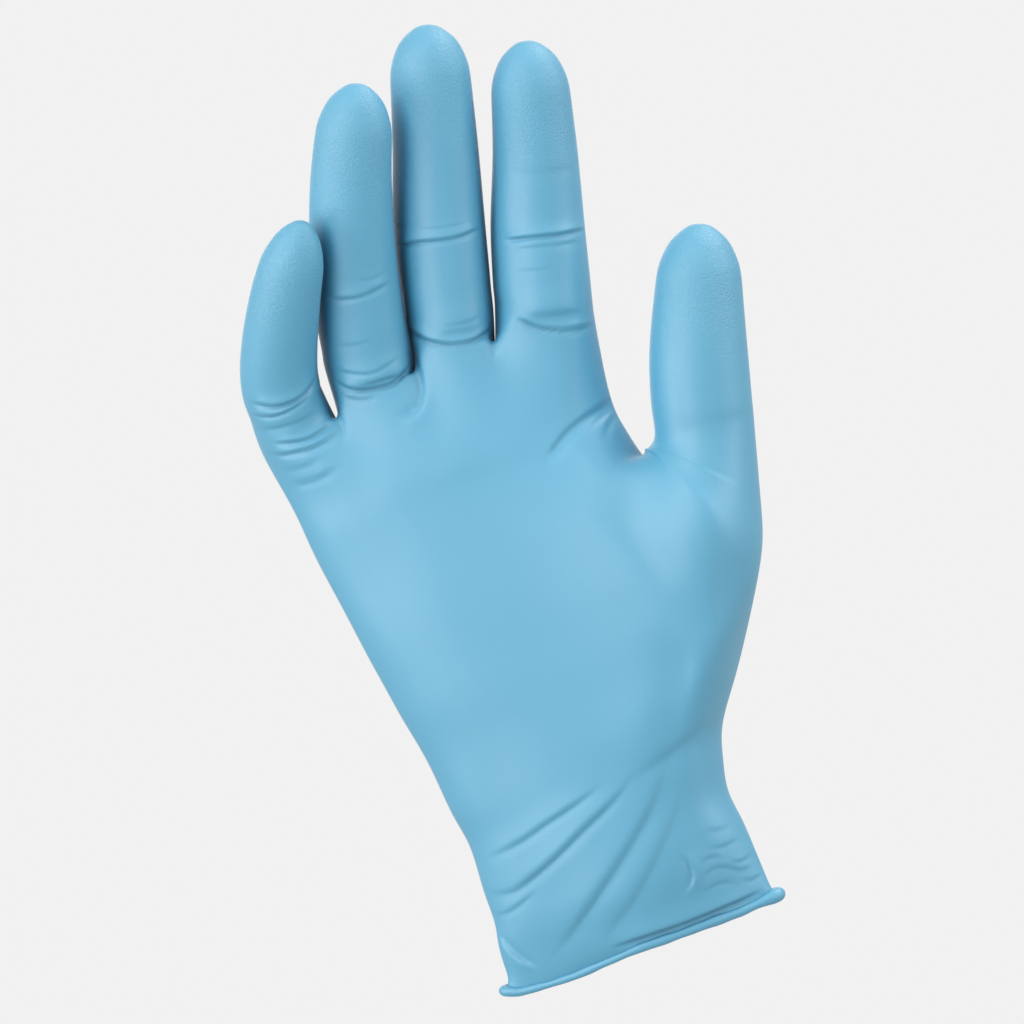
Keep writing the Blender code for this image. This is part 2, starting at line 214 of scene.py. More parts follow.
class Cage:
    """Quads that describe the outer surface of the film, each with the name of the piece it belongs to."""

    def __init__(self):
        self.points = []
        self.quads = []
        self.names = []

    def point(self, x, y, z):
        self.points.append(Vector((x, y, z)))
        return len(self.points) - 1

    def quad(self, corners, name):
        self.quads.append(corners)
        self.names.append(name)

    def band(self, lower, upper, name):
        count = len(lower)
        for i in range(count):
            j = (i + 1) % count
            self.quad((lower[i], lower[j], upper[j], upper[i]), name)

    def ring(self, count, centre, side, front, half_width, depths):
        """Corners around a stall, from the palm side's corner nearest the little finger."""
        first = -360.0 / count * (count // 2 - 2) / 2
        turns = [math.radians(first + 360.0 / count * i) for i in range(count)]
        corners = []
        for turn in turns:
            depth = depths[math.cos(turn) < 0.0]
            place = centre + math.sin(turn) * half_width * side + math.cos(turn) * depth * front
            corners.append(self.point(*place))
        return corners

    def cap(self, ring, tip, name):
        top = self.point(*tip)
        count = len(ring)
        for i in range(0, count, 2):
            self.quad((ring[i], ring[(i + 1) % count], ring[(i + 2) % count], top), name)


def add_row(cage, row):
    z, left, right, front_little, front_middle, front_thumb, back, power_little, power_thumb = row
    inset = EDGE_INSET * (right - left)
    palm_side, back_side = [], []
    for column in range(COLUMNS + 1):
        share = column / COLUMNS
        x = left + inset + share * (right - left - 2 * inset)
        front = curve_through((front_little, front_middle, front_thumb), share)
        power = power_little if column < COLUMNS / 2 else power_thumb
        off_centre = abs(2.0 * share - 1.0) * (1.0 - 2.0 * EDGE_INSET)
        rounding = (1.0 - off_centre**power) ** (1.0 / power)
        palm_side.append(cage.point(x, -front * rounding, z))
        back_side.append(cage.point(x, back * rounding, z))
    return palm_side, cage.point(right, 0.0, z), back_side, cage.point(left, 0.0, z)


def add_root_row(cage):
    palm_side = [cage.point(x, -depth, z) for x, depth, z in ROOT_COLUMNS]
    back_side = [cage.point(x, BACK_DEPTH * depth, z - BACK_DROP) for x, depth, z in ROOT_COLUMNS]
    row = palm_side, cage.point(*ROOT_EDGE_THUMB), back_side, cage.point(*ROOT_EDGE_LITTLE)
    webs = {}
    for column in range(2, COLUMNS, 2):
        x, _, z = ROOT_COLUMNS[column]
        webs[column] = cage.point(x, 0.0, z - WEB_DROP)
    return row, webs


def loop_of(row):
    palm_side, thumb_edge, back_side, little_edge = row
    return [*palm_side, thumb_edge, *back_side[::-1], little_edge]


def add_hand(cage):
    rows = [add_row(cage, row) for row in ROWS]
    top, webs = add_root_row(cage)
    rows.append(top)
    for i, (lower, upper) in enumerate(zip(rows, rows[1:])):
        low, high = loop_of(lower), loop_of(upper)
        count = len(low)
        for k in range(count):
            if THUMB_ROWS[0] <= i < THUMB_ROWS[1] and k in (COLUMNS, COLUMNS + 1):
                continue
            j = (k + 1) % count
            cage.quad((low[k], low[j], high[j], high[k]), "palm")
    beside = rows[THUMB_ROWS[0] : THUMB_ROWS[1] + 1]
    opening = [row[0][-1] for row in beside[::-1]] + [beside[0][1]]
    opening += [row[2][-1] for row in beside] + [beside[-1][1]]
    return opening, top, webs


def finger_root(name, top, webs):
    palm_side, thumb_edge, back_side, little_edge = top
    first = 2 * FINGERS.index(name)
    left = webs.get(first, little_edge)
    right = webs.get(first + 2, thumb_edge)
    return [*palm_side[first : first + 3], right, *back_side[first : first + 3][::-1], left]


def add_stall(cage, name, root):
    """Rings up a stall from its root, cut into pieces half-way between knuckles, then the rounded tip."""
    spine = SPINES[name]
    count = len(root)
    stops = [spine.middle(k) for k in range(len(spine.knots) - 2)] + [spine.length - TIP_LENGTH]
    pieces = ("root", "middle", "tip") if len(stops) == 3 else ("root", "tip")
    ring, reached = root, ROOT_CLEAR
    for stop, piece in zip(stops, pieces):
        steps = max(1, round((stop - reached) / RING_STEP))
        for step in range(1, steps + 1):
            distance = reached + (stop - reached) * step / steps
            centre, _, side, front = spine.frame(distance)
            half = 0.5 * spine.width(distance)
            upper = cage.ring(count, centre, side, front, half, spine.depths(distance))
            cage.band(ring, upper, f"{name}_{piece}")
            ring = upper
        reached = stop
    for turn in TIP_TURNS[::-1]:
        turn = math.radians(turn)
        distance = spine.length - TIP_LENGTH * (1.0 - math.cos(turn))
        centre, _, side, front = spine.frame(distance)
        half = 0.5 * spine.width(distance) * math.sin(turn)
        depths = [depth * math.sin(turn) for depth in spine.depths(distance)]
        upper = cage.ring(count, centre, side, front, half, depths)
        cage.band(ring, upper, f"{name}_tip")
        ring = upper
    cage.cap(ring, spine.points[-1], f"{name}_tip")


def add_thenar(cage, opening):
    ring = opening
    for inner, outer, y, half_depth in THENAR_RINGS:
        inner, outer = Vector((inner[0], y, inner[1])), Vector((outer[0], y, outer[1]))
        half = (outer - inner) / 2
        front = Vector((0.0, -1.0, 0.0))
        depths = (half_depth, half_depth)
        placed = cage.ring(len(opening), inner + half, half.normalized(), front, half.length, depths)
        cage.band(ring, placed, "palm")
        ring = placed
    return ring


def make_cage():
    cage = Cage()
    opening, top, webs = add_hand(cage)
    for name in FINGERS:
        add_stall(cage, name, finger_root(name, top, webs))
    add_stall(cage, "thumb", add_thenar(cage, opening))
    return cage


# --- Creases and folds ---------------------------------------------------------------------------------

# Each line runs over the skin as (across, height) points. "depth" sinks it, or swells it where negative, and
# "lift" raises a ridge beside it, on the left of its direction unless "side" is -1. "width" is its half
# width, and "taper" is how far it fades at each end. "on" names the stalls that it may mark.
CREASES = (
    # middle finger
    dict(on=("middle",), depth=0.60, width=0.42, lift=0.50,
         path=((-2.5, 188.5), (0.2, 187.4), (5.1, 186.0), (10.0, 184.7), (15.7, 184.0), (22.0, 184.6))),
    dict(on=("middle",), depth=0.12, width=0.34, lift=0.04,
         path=((4.0, 189.6), (13.2, 187.2), (20.0, 187.0))),
    dict(on=("middle", "palm"), depth=0.90, width=0.41, lift=0.60,
         path=((-5.5, 168.5), (-3.6, 165.0), (-0.6, 161.7), (4.1, 159.2), (10.0, 158.3), (16.2, 160.2))),
    dict(on=("middle", "palm"), depth=0.25, width=0.41, lift=0.15,
         path=((1.0, 158.6), (6.0, 156.6), (11.5, 156.2))),
    dict(on=("middle",), depth=0.14, width=0.41, lift=0.08,
         path=((2.9, 164.3), (10.3, 163.0), (14.8, 164.3))),
    dict(on=("middle",), depth=0.09, width=0.41, lift=0.06,
         path=((-2.5, 192.5), (3.0, 191.3), (8.0, 191.3))),
    # index finger
    dict(on=("index",), depth=0.66, width=0.38, lift=0.55,
         path=((24.5, 180.0), (28.3, 178.9), (35.1, 177.3), (40.1, 176.2), (47.5, 175.7))),
    dict(on=("index",), depth=0.14, width=0.54, lift=0.09,
         path=((26.0, 176.9), (36.7, 174.2), (45.0, 173.0))),
    dict(on=("index", "palm"), depth=0.66, width=0.38, lift=0.60,
         path=((21.6, 160.6), (23.6, 158.6), (26.4, 156.0), (31.0, 153.8), (35.9, 152.5), (41.0, 152.8))),
    dict(on=("index", "palm"), depth=0.08, width=0.5, lift=0.04,
         path=((26.0, 159.4), (31.0, 157.4), (37.5, 156.6))),
    dict(on=("index",), depth=0.07, width=0.9, lift=0.05,
         path=((31.0, 195.8), (40.3, 192.3), (50.0, 190.9))),
    dict(on=("index",), depth=0.12, width=0.48, lift=0.06,
         path=((24.6, 171.6), (31.0, 169.6), (36.0, 168.6))),
    # ring finger
    dict(on=("ring",), depth=0.36, width=0.45, lift=0.34,
         path=((-22.5, 180.6), (-18.1, 178.6), (-12.5, 177.6), (-4.5, 178.8))),
    dict(on=("ring",), depth=0.12, width=0.41, lift=0.06,
         path=((-14.5, 182.0), (-9.0, 180.9), (-4.0, 181.8))),
    dict(on=("ring", "palm"), depth=0.88, width=0.41, lift=0.60,
         path=((-26.6, 161.0), (-24.6, 157.8), (-21.5, 155.9), (-17.0, 154.9), (-12.0, 155.0),
               (-6.6, 158.2))),
    dict(on=("ring", "palm"), depth=0.43, width=0.34, lift=0.22,
         path=((-27.2, 157.6), (-25.0, 155.2), (-21.0, 153.2), (-15.0, 152.8))),
    dict(on=("ring", "palm"), depth=0.25, width=0.41, lift=0.15,
         path=((-26.5, 163.6), (-22.0, 160.4), (-16.0, 158.6), (-8.4, 160.6))),
    dict(on=("ring",), depth=0.10, width=0.48, lift=0.06,
         path=((-24.5, 168.5), (-18.0, 166.6), (-12.5, 166.8))),
    dict(on=("ring", "palm", "middle"), depth=0.86, width=0.68, lift=0.45,
         path=((-5.2, 163.0), (-5.5, 158.0), (-5.9, 153.0), (-7.2, 149.4), (-10.0, 146.4), (-15.6, 145.2))),
    # little finger
    dict(on=("little",), depth=0.88, width=0.41, lift=0.60,
         path=((-49.0, 162.2), (-43.5, 158.9), (-38.7, 158.4), (-34.3, 159.4), (-29.4, 163.2))),
    dict(on=("little",), depth=0.56, width=0.36, lift=0.36,
         path=((-50.0, 159.2), (-44.5, 156.6), (-39.2, 156.6), (-33.0, 158.4))),
    dict(on=("little",), depth=0.22, width=0.48, lift=0.15,
         path=((-49.5, 155.2), (-45.0, 153.6), (-38.5, 153.2), (-32.4, 154.4))),
    dict(on=("little", "palm"), depth=0.66, width=0.36, lift=0.42,
         path=((-47.0, 150.6), (-42.0, 148.9), (-36.3, 148.5), (-29.0, 151.0))),
    dict(on=("little", "palm"), depth=0.74, width=0.38, lift=0.46,
         path=((-49.0, 148.4), (-44.5, 146.6), (-38.5, 145.9), (-33.0, 146.4), (-28.6, 148.8))),
    dict(on=("little", "palm"), depth=0.22, width=0.41, lift=0.15,
         path=((-48.0, 143.4), (-42.0, 142.2), (-35.0, 142.8))),
    dict(on=("little", "palm"), depth=0.29, width=0.54, lift=0.19,
         path=((-47.0, 139.2), (-39.6, 137.9), (-31.5, 139.4))),
    dict(on=("little", "palm", "ring"), depth=0.79, width=0.61, lift=0.22,
         path=((-28.6, 155.0), (-28.3, 149.2), (-29.4, 144.2))),
    # webs and thumb
    dict(on=("palm", "middle", "index"), depth=0.58, width=0.54, lift=0.38, side=-1,
         path=((15.2, 160.0), (14.2, 156.2), (12.8, 153.6), (10.8, 151.8))),
    dict(on=("palm",), depth=1.00, width=0.85,
         path=((16.8, 122.6), (20.0, 125.4), (24.5, 128.3), (29.5, 130.2), (35.5, 131.8), (40.5, 133.8))),
    dict(on=("palm",), depth=0.40, width=0.55,
         path=((29.0, 126.8), (33.5, 129.2), (40.0, 131.4))),
    dict(on=("palm",), depth=0.42, width=0.60,
         path=((32.4, 122.5), (35.8, 127.4), (40.8, 130.3))),
    # wrist and cuff
    dict(on=("palm",), depth=0.30, width=0.7, lift=0.45, taper=14.0,
         path=((-31.5, 33.0), (-27.0, 33.6), (-19.8, 34.8), (-12.2, 37.0), (-3.5, 39.4), (6.0, 42.6))),
    dict(on=("palm",), depth=0.36, width=0.8, lift=0.60, taper=16.0,
         path=((-34.5, 25.5), (-31.4, 24.3), (-27.2, 23.4), (-23.0, 24.0), (-13.1, 28.0), (-3.6, 32.7),
               (6.0, 37.3), (14.0, 42.5))),
    dict(on=("palm",), depth=0.18, width=0.6, lift=0.25, taper=7.0,
         path=((-34.6, 19.5), (-30.0, 18.6), (-25.0, 19.8), (-19.0, 22.6))),
    dict(on=("palm",), depth=0.42, width=1.3, lift=0.60, taper=20.0,
         path=((-24.0, 2.4), (-21.4, 4.4), (-15.5, 8.4), (-6.5, 15.0), (3.0, 22.4), (12.4, 30.4),
               (18.4, 37.4), (23.0, 44.0))),
    dict(on=("palm",), depth=0.22, width=1.3, lift=0.38, taper=16.0,
         path=((-10.0, 2.5), (-4.4, 6.9), (2.9, 12.0), (11.0, 19.4), (18.1, 27.2), (24.3, 35.4))),
    dict(on=("palm",), depth=0.42, width=1.7, lift=0.4, side=-1, taper=20.0,
         path=((41.0, 50.6), (36.0, 47.9), (32.0, 46.4), (20.0, 42.6), (8.4, 39.9))),
    dict(on=("palm",), depth=0.45, width=0.5, lift=0.5,
         path=((17.0, 19.4), (18.2, 16.0), (18.1, 12.8), (16.8, 10.6), (14.4, 8.6))),
    dict(on=("palm",), depth=0.13, width=0.55, lift=0.16,
         path=((20.5, 14.2), (23.8, 15.4), (27.5, 14.2))),
    dict(on=("palm",), depth=0.12, width=0.6, lift=0.16,
         path=((23.0, 18.2), (28.0, 16.9), (33.8, 17.6))),
    dict(on=("palm",), depth=0.16, width=0.55, lift=0.18,
         path=((19.6, 11.0), (25.0, 12.3), (30.6, 9.5), (34.4, 9.9))),
    dict(on=("palm",), depth=0.13, width=0.5, lift=0.14,
         path=((27.5, 13.2), (31.0, 11.7), (35.8, 12.7))),
    dict(on=("palm",), depth=0.14, width=0.5, lift=0.16,
         path=((18.5, 7.2), (24.0, 8.3), (29.0, 6.4))),
    dict(on=("palm",), depth=0.13, width=0.45, lift=0.14,
         path=((28.8, 7.8), (32.2, 6.2), (36.2, 7.2))),
    dict(on=("palm",), depth=0.08, width=0.7, lift=0.1,
         path=((24.0, 22.5), (29.0, 21.0), (33.0, 22.0))),
    dict(on=("palm",), depth=0.42, width=0.6, lift=0.45, side=-1,
         path=((-32.8, 15.5), (-31.8, 11.0), (-29.6, 6.8), (-26.0, 2.6))),
    # the tuck above the rolled rim
    dict(on=("palm",), depth=1.1, width=0.5, lift=0.45, taper=9.0,
         path=((-8.0, 1.9), (5.6, 1.7), (12.3, 1.6), (19.2, 1.8), (23.8, 2.0), (28.5, 2.2), (34.5, 2.8))),
)
FORMS = (  # broad swellings of the hand inside
    dict(on=("palm",), depth=-0.8, width=11.0, taper=30.0,
         path=((-29.0, 122.0), (-28.0, 104.0), (-24.5, 84.0), (-20.0, 62.0), (-16.0, 50.0))),
    dict(on=("palm",), depth=-1.4, width=12.0, taper=13.0,
         path=((32.0, 91.0), (46.0, 93.5), (60.0, 89.0))),
)
# The back of the hand, which the picture doesn't show: knuckles, tendons, the webs and a few folds.
BACK = (
    dict(on=("palm",), depth=-0.8, width=5.0, taper=15.0,
         path=((-36.0, 112.0), (-38.0, 130.0), (-39.0, 146.0))),
    dict(on=("palm",), depth=-0.9, width=5.0, taper=16.0,
         path=((-15.5, 114.0), (-16.5, 132.0), (-17.5, 150.0))),
    dict(on=("palm",), depth=-1.0, width=5.0, taper=16.0,
         path=((3.5, 116.0), (4.2, 134.0), (4.5, 152.0))),
    dict(on=("palm",), depth=-0.9, width=5.0, taper=16.0,
         path=((21.0, 114.0), (24.0, 132.0), (26.5, 150.0))),
    dict(on=("palm",), depth=-0.30, width=3.0, taper=20.0,
         path=((-2.0, 60.0), (-14.0, 100.0), (-16.5, 128.0))),
    dict(on=("palm",), depth=-0.35, width=3.0, taper=20.0,
         path=((1.0, 60.0), (2.5, 100.0), (4.0, 130.0))),
    dict(on=("palm",), depth=-0.30, width=3.0, taper=20.0,
         path=((6.0, 60.0), (16.0, 100.0), (22.0, 128.0))),
    dict(on=("palm", "little", "ring"), depth=0.7, width=1.8, lift=0.3,
         path=((-28.9, 152.0), (-27.8, 143.0), (-26.5, 136.0))),
    dict(on=("palm", "ring", "middle"), depth=0.7, width=1.8, lift=0.3,
         path=((-6.6, 156.0), (-6.4, 146.0), (-6.0, 138.0))),
    dict(on=("palm", "middle", "index"), depth=0.7, width=1.8, lift=0.3,
         path=((14.6, 157.0), (14.2, 147.0), (13.6, 139.0))),
    dict(on=("little",), depth=0.22, width=0.5, lift=0.15,
         path=((-49.0, 166.5), (-40.0, 168.0), (-31.0, 166.0))),
    dict(on=("little",), depth=0.18, width=0.5, lift=0.12,
         path=((-48.5, 163.5), (-40.0, 164.4), (-31.5, 163.0))),
    dict(on=("ring",), depth=0.22, width=0.5, lift=0.15,
         path=((-24.5, 179.0), (-14.5, 181.6), (-4.5, 178.6))),
    dict(on=("ring",), depth=0.18, width=0.5, lift=0.12,
         path=((-24.0, 176.0), (-15.0, 177.8), (-5.5, 175.4))),
    dict(on=("middle",), depth=0.22, width=0.5, lift=0.15,
         path=((0.0, 186.5), (10.0, 189.0), (20.5, 186.0))),
    dict(on=("middle",), depth=0.18, width=0.5, lift=0.12,
         path=((-0.5, 183.0), (9.5, 185.2), (19.5, 182.6))),
    dict(on=("index",), depth=0.22, width=0.5, lift=0.15,
         path=((23.5, 180.0), (34.0, 182.4), (44.8, 179.2))),
    dict(on=("index",), depth=0.18, width=0.5, lift=0.12,
         path=((22.8, 176.6), (33.5, 178.6), (44.0, 175.8))),
    dict(on=("thumb",), depth=0.22, width=0.5, lift=0.15,
         path=((50.5, 138.5), (62.5, 139.5), (73.0, 135.5))),
    dict(on=("thumb",), depth=0.18, width=0.5, lift=0.12,
         path=((50.0, 134.5), (61.5, 135.5), (72.0, 131.5))),
    dict(on=("palm",), depth=0.4, width=4.0, taper=18.0,
         path=((-31.0, 44.0), (-14.0, 47.0), (4.0, 47.5), (22.0, 45.0), (33.0, 43.0))),
    dict(on=("palm",), depth=0.35, width=0.9, lift=0.45, side=-1, taper=14.0,
         path=((34.0, 12.0), (24.0, 17.0), (12.0, 25.0), (0.0, 36.0))),
    dict(on=("palm",), depth=0.30, width=0.7, lift=0.35, side=-1, taper=12.0,
         path=((33.5, 26.0), (24.0, 28.5), (14.0, 33.5), (5.0, 40.0))),
    dict(on=("palm",), depth=0.32, width=0.9, lift=0.4, taper=14.0,
         path=((-33.0, 9.0), (-25.0, 14.0), (-16.0, 22.0), (-9.0, 31.0))),
    dict(on=("palm",), depth=0.24, width=0.6, lift=0.3, taper=9.0,
         path=((-33.0, 24.0), (-24.0, 26.0), (-15.0, 31.0))),
    dict(on=("palm",), depth=0.2, width=0.9, lift=0.3, taper=9.0,
         path=((-16.0, 1.0), (-9.0, 9.0), (-4.0, 20.0))),
    dict(on=("palm",), depth=0.2, width=0.9, lift=0.3, side=-1, taper=9.0,
         path=((16.0, 1.0), (13.0, 9.0), (6.0, 18.0))),
    dict(on=("palm",), depth=0.45, width=1.2, lift=0.3,
         path=((38.0, 108.0), (44.0, 104.0), (50.0, 103.0))),
    dict(on=("palm",), depth=0.30, width=1.2, lift=0.2,
         path=((36.0, 101.0), (43.0, 97.0), (50.0, 96.0))),
)
SAMPLES = 48  # along each crease
TAPER = 5.0
LONGEST_FADE = 0.45  # of a crease's length
REACH = 8.0  # half widths of a crease, past which it does nothing
FACING = (0.05, 0.35)  # how far a point faces the creases' side where they start, and the range they grow in
OUTWARDS = 0.65  # share of a crease's move that goes straight out of the hand, and not along the normal


def smooth(t):
    t = np.clip(t, 0.0, 1.0)
    return t * t * (3.0 - 2.0 * t)


def crease_depth(crease, x, z):
    """How far a crease moves points (x, z) outwards, in millimetres."""
    path = [Vector(p) for p in crease["path"]]
    line = np.array([curve_through(path, i / SAMPLES) for i in range(SAMPLES + 1)])
    steps = np.diff(line, axis=0)
    along = np.concatenate([[0.0], np.cumsum(np.hypot(*steps.T))])
    best = np.full(len(x), 1e9)
    across, reached = np.zeros(len(x)), np.zeros(len(x))
    for (px, pz), (dx, dz), start, end in zip(line, steps, along, along[1:]):
        length = end - start
        t = np.clip(((x - px) * dx + (z - pz) * dz) / length**2, 0.0, 1.0)
        ex, ez = x - px - t * dx, z - pz - t * dz
        gap = np.hypot(ex, ez)
        nearer = gap < best
        best = np.where(nearer, gap, best)
        side = np.sign(dx * ez - dz * ex)
        across = np.where(nearer, side * gap, across)
        reached = np.where(nearer, start + t * length, reached)
    width = crease["width"]
    fade = min(LONGEST_FADE * along[-1], crease.get("taper", TAPER))
    ends = smooth(reached / fade) * smooth((along[-1] - reached) / fade)
    t = across * crease.get("side", 1) / width
    groove = -crease["depth"] * np.where(t > 0.0, np.exp(-(t**2)), np.exp(-(t**2) / 4.0))
    bulge = crease.get("lift", 0.0) * np.where(t > 0.0, (t / 2.0) * np.exp(1.0 - t / 2.0), 0.0)
    return ends * (groove + bulge)


def hang(mesh):
    """Lets the film's open end down, or takes it up, to the line of the rolled rim."""
    co = np.empty(3 * len(mesh.vertices))
    mesh.vertices.foreach_get("co", co)
    co = co.reshape(-1, 3)
    x, y, z = (co / MM).T
    share = smooth((HANG_HEIGHT - z) / (HANG_HEIGHT - ROWS[0][0]))
    co[:, 2] += share * (rim_height(x, y) - ROWS[0][0]) * MM
    mesh.vertices.foreach_set("co", co.ravel())
    mesh.update()


def displace(mesh, piece_of_vertex):
    """Moves the palm side and the back of the skin by their creases, folds and swellings."""
    count = len(mesh.vertices)
    co = np.empty(3 * count)
    mesh.vertices.foreach_get("co", co)
    co = co.reshape(-1, 3)
    normal = np.empty(3 * count)
    mesh.vertex_normals.foreach_get("vector", normal)
    normal = normal.reshape(-1, 3)
    x, y, z = (co / MM).T
    for creases, outwards in (((*FORMS, *CREASES), -1.0), (BACK, 1.0)):
        facing = smooth((outwards * normal[:, 1] - FACING[0]) / FACING[1])
        move = np.zeros(count)
        for crease in creases:
            px = [p[0] for p in crease["path"]]
            pz = [p[1] for p in crease["path"]]
            reach = REACH * crease["width"] + 1.0
            near = (x > min(px) - reach) & (x < max(px) + reach)
            near &= (z > min(pz) - reach) & (z < max(pz) + reach)
            near &= facing > 0.0
            near &= np.isin(piece_of_vertex, [STALL_CODES[name] for name in crease["on"]])
            chosen = np.flatnonzero(near)
            move[chosen] += facing[chosen] * crease_depth(crease, x[chosen], z[chosen])
        # mostly straight out of the hand, so that the film never passes through itself in a hollow
        direction = (1.0 - OUTWARDS) * normal + OUTWARDS * np.array((0.0, outwards, 0.0))
        co += direction * (move * MM)[:, None]
    mesh.vertices.foreach_set("co", co.ravel())
    mesh.update()


STALL_CODES = {"palm": 0, "little": 1, "ring": 2, "middle": 3, "index": 4, "thumb": 5}


# --- Skin ----------------------------------------------------------------------------------------------


FAINT_GRAIN = 0.12  # of the fingertips' texture, on the rest of the film
GRAIN_START = 45.0  # below a fingertip
GRAIN_LENGTH = 30.0  # over which the texture comes in


def make_skin(cage):
    """One dense mesh of the whole outer surface, with each face's piece as an attribute."""
    mesh = bpy.data.meshes.new("skin_cage")
    mesh.from_pydata([p * MM for p in cage.points], [], cage.quads)
    names = sorted(set(cage.names))
    piece = mesh.attributes.new("piece", "INT", "FACE")
    piece.data.foreach_set("value", [names.index(n) for n in cage.names])
    skin = bpy.data.objects.new("skin_cage", mesh)
    bpy.context.scene.collection.objects.link(skin)
    rounding = skin.modifiers.new("Rounding", "SUBSURF")
    rounding.levels = rounding.render_levels = 1
    count = len(mesh.vertices)
    aims = np.array([v.co for v in mesh.vertices])
    for _ in range(FIT_ROUNDS):
        rounded = skin.evaluated_get(bpy.context.evaluated_depsgraph_get()).data
        reached = np.empty(3 * len(rounded.vertices))
        rounded.vertices.foreach_get("co", reached)
        here = np.empty(3 * count)
        mesh.vertices.foreach_get("co", here)
        here = here.reshape(-1, 3) + aims - reached.reshape(-1, 3)[:count]
        mesh.vertices.foreach_set("co", here.ravel())
        mesh.update()
        skin.update_tag()
        bpy.context.view_layer.update()
    rounding.levels = rounding.render_levels = DETAIL
    skin.update_tag()
    bpy.context.view_layer.update()
    dense = bpy.data.meshes.new_from_object(skin.evaluated_get(bpy.context.evaluated_depsgraph_get()))
    bpy.data.objects.remove(skin, do_unlink=True)
    return dense, names


def stall_of_vertices(mesh, names):
    """The stall, or palm, that each vertex belongs to, as a code."""
    piece = np.empty(len(mesh.polygons), int)
    mesh.attributes["piece"].data.foreach_get("value", piece)
    code_of_piece = np.array([STALL_CODES[n.split("_")[0]] for n in names])
    corners = np.empty(len(mesh.loops), int)
    mesh.loops.foreach_get("vertex_index", corners)
    totals = np.empty(len(mesh.polygons), int)
    mesh.polygons.foreach_get("loop_total", totals)
    code = np.zeros(len(mesh.vertices), int)
    code[corners] = np.repeat(code_of_piece[piece], totals)
    return code


def grain_of_vertices(mesh, code):
    """How strong the film's texture is: full on the fingertips, faint elsewhere."""
    co = np.empty(3 * len(mesh.vertices))
    mesh.vertices.foreach_get("co", co)
    co = co.reshape(-1, 3) / MM
    grain = np.full(len(co), FAINT_GRAIN)
    for name, spine in SPINES.items():
        tip, knuckle = np.array(spine.points[-1]), np.array(spine.points[-2])
        along = (tip - knuckle) / np.linalg.norm(tip - knuckle)
        reach = (co - tip) @ along
        share = smooth((reach + GRAIN_START) / GRAIN_LENGTH)
        grain = np.where(code == STALL_CODES[name], FAINT_GRAIN + (1.0 - FAINT_GRAIN) * share, grain)
    return grain


def cut_piece(dense, normals, piece_index, name):
    """One drawn piece of the skin: its faces, with the normals and attributes of the uncut skin."""
    count = len(dense.vertices)
    piece = np.empty(len(dense.polygons), int)
    dense.attributes["piece"].data.foreach_get("value", piece)
    corners = np.empty(len(dense.loops), int)
    dense.loops.foreach_get("vertex_index", corners)
    quads = corners.reshape(-1, 4)[piece == piece_index]
    used = np.unique(quads)
    place = np.full(count, -1)
    place[used] = np.arange(len(used))
    co = np.empty(3 * count)
    dense.vertices.foreach_get("co", co)
    co = co.reshape(-1, 3)
    outer, inner = co[used], co[used] - FILM * normals[used]
    faces = place[quads]
    n = len(used)
    mesh = bpy.data.meshes.new(name)
    mesh.from_pydata(np.vstack([outer, inner]), [], np.vstack([faces, n + faces[:, ::-1]]))
    return mesh, used


def finish_piece(mesh, used, dense_values, normals):
    n = len(used)
    for attribute, values in dense_values.items():
        kind = "FLOAT_VECTOR" if values.ndim == 2 else "FLOAT"
        layer = mesh.attributes.new(attribute, kind, "POINT")
        both = np.concatenate([values[used], values[used]])
        layer.data.foreach_set("vector" if values.ndim == 2 else "value", both.ravel().astype(np.float32))
    mesh.shade_smooth()
    mesh.normals_split_custom_set_from_vertices(np.vstack([normals[used], -normals[used]]))


# --- Materials -----------------------------------------------------------------------------------------

FILM_COLOUR = (0.088, 0.372, 0.555)
FILM_COLOUR_DEEP = (0.076, 0.345, 0.528)
# painted shade: the deep blue that the film's colour turns to in the gaps between the fingers and in creases
FILM_COLOUR_PAINTED_GAP_SHADE = (0.001, 0.125, 0.235)
FILM_ROUGHNESS = 0.46


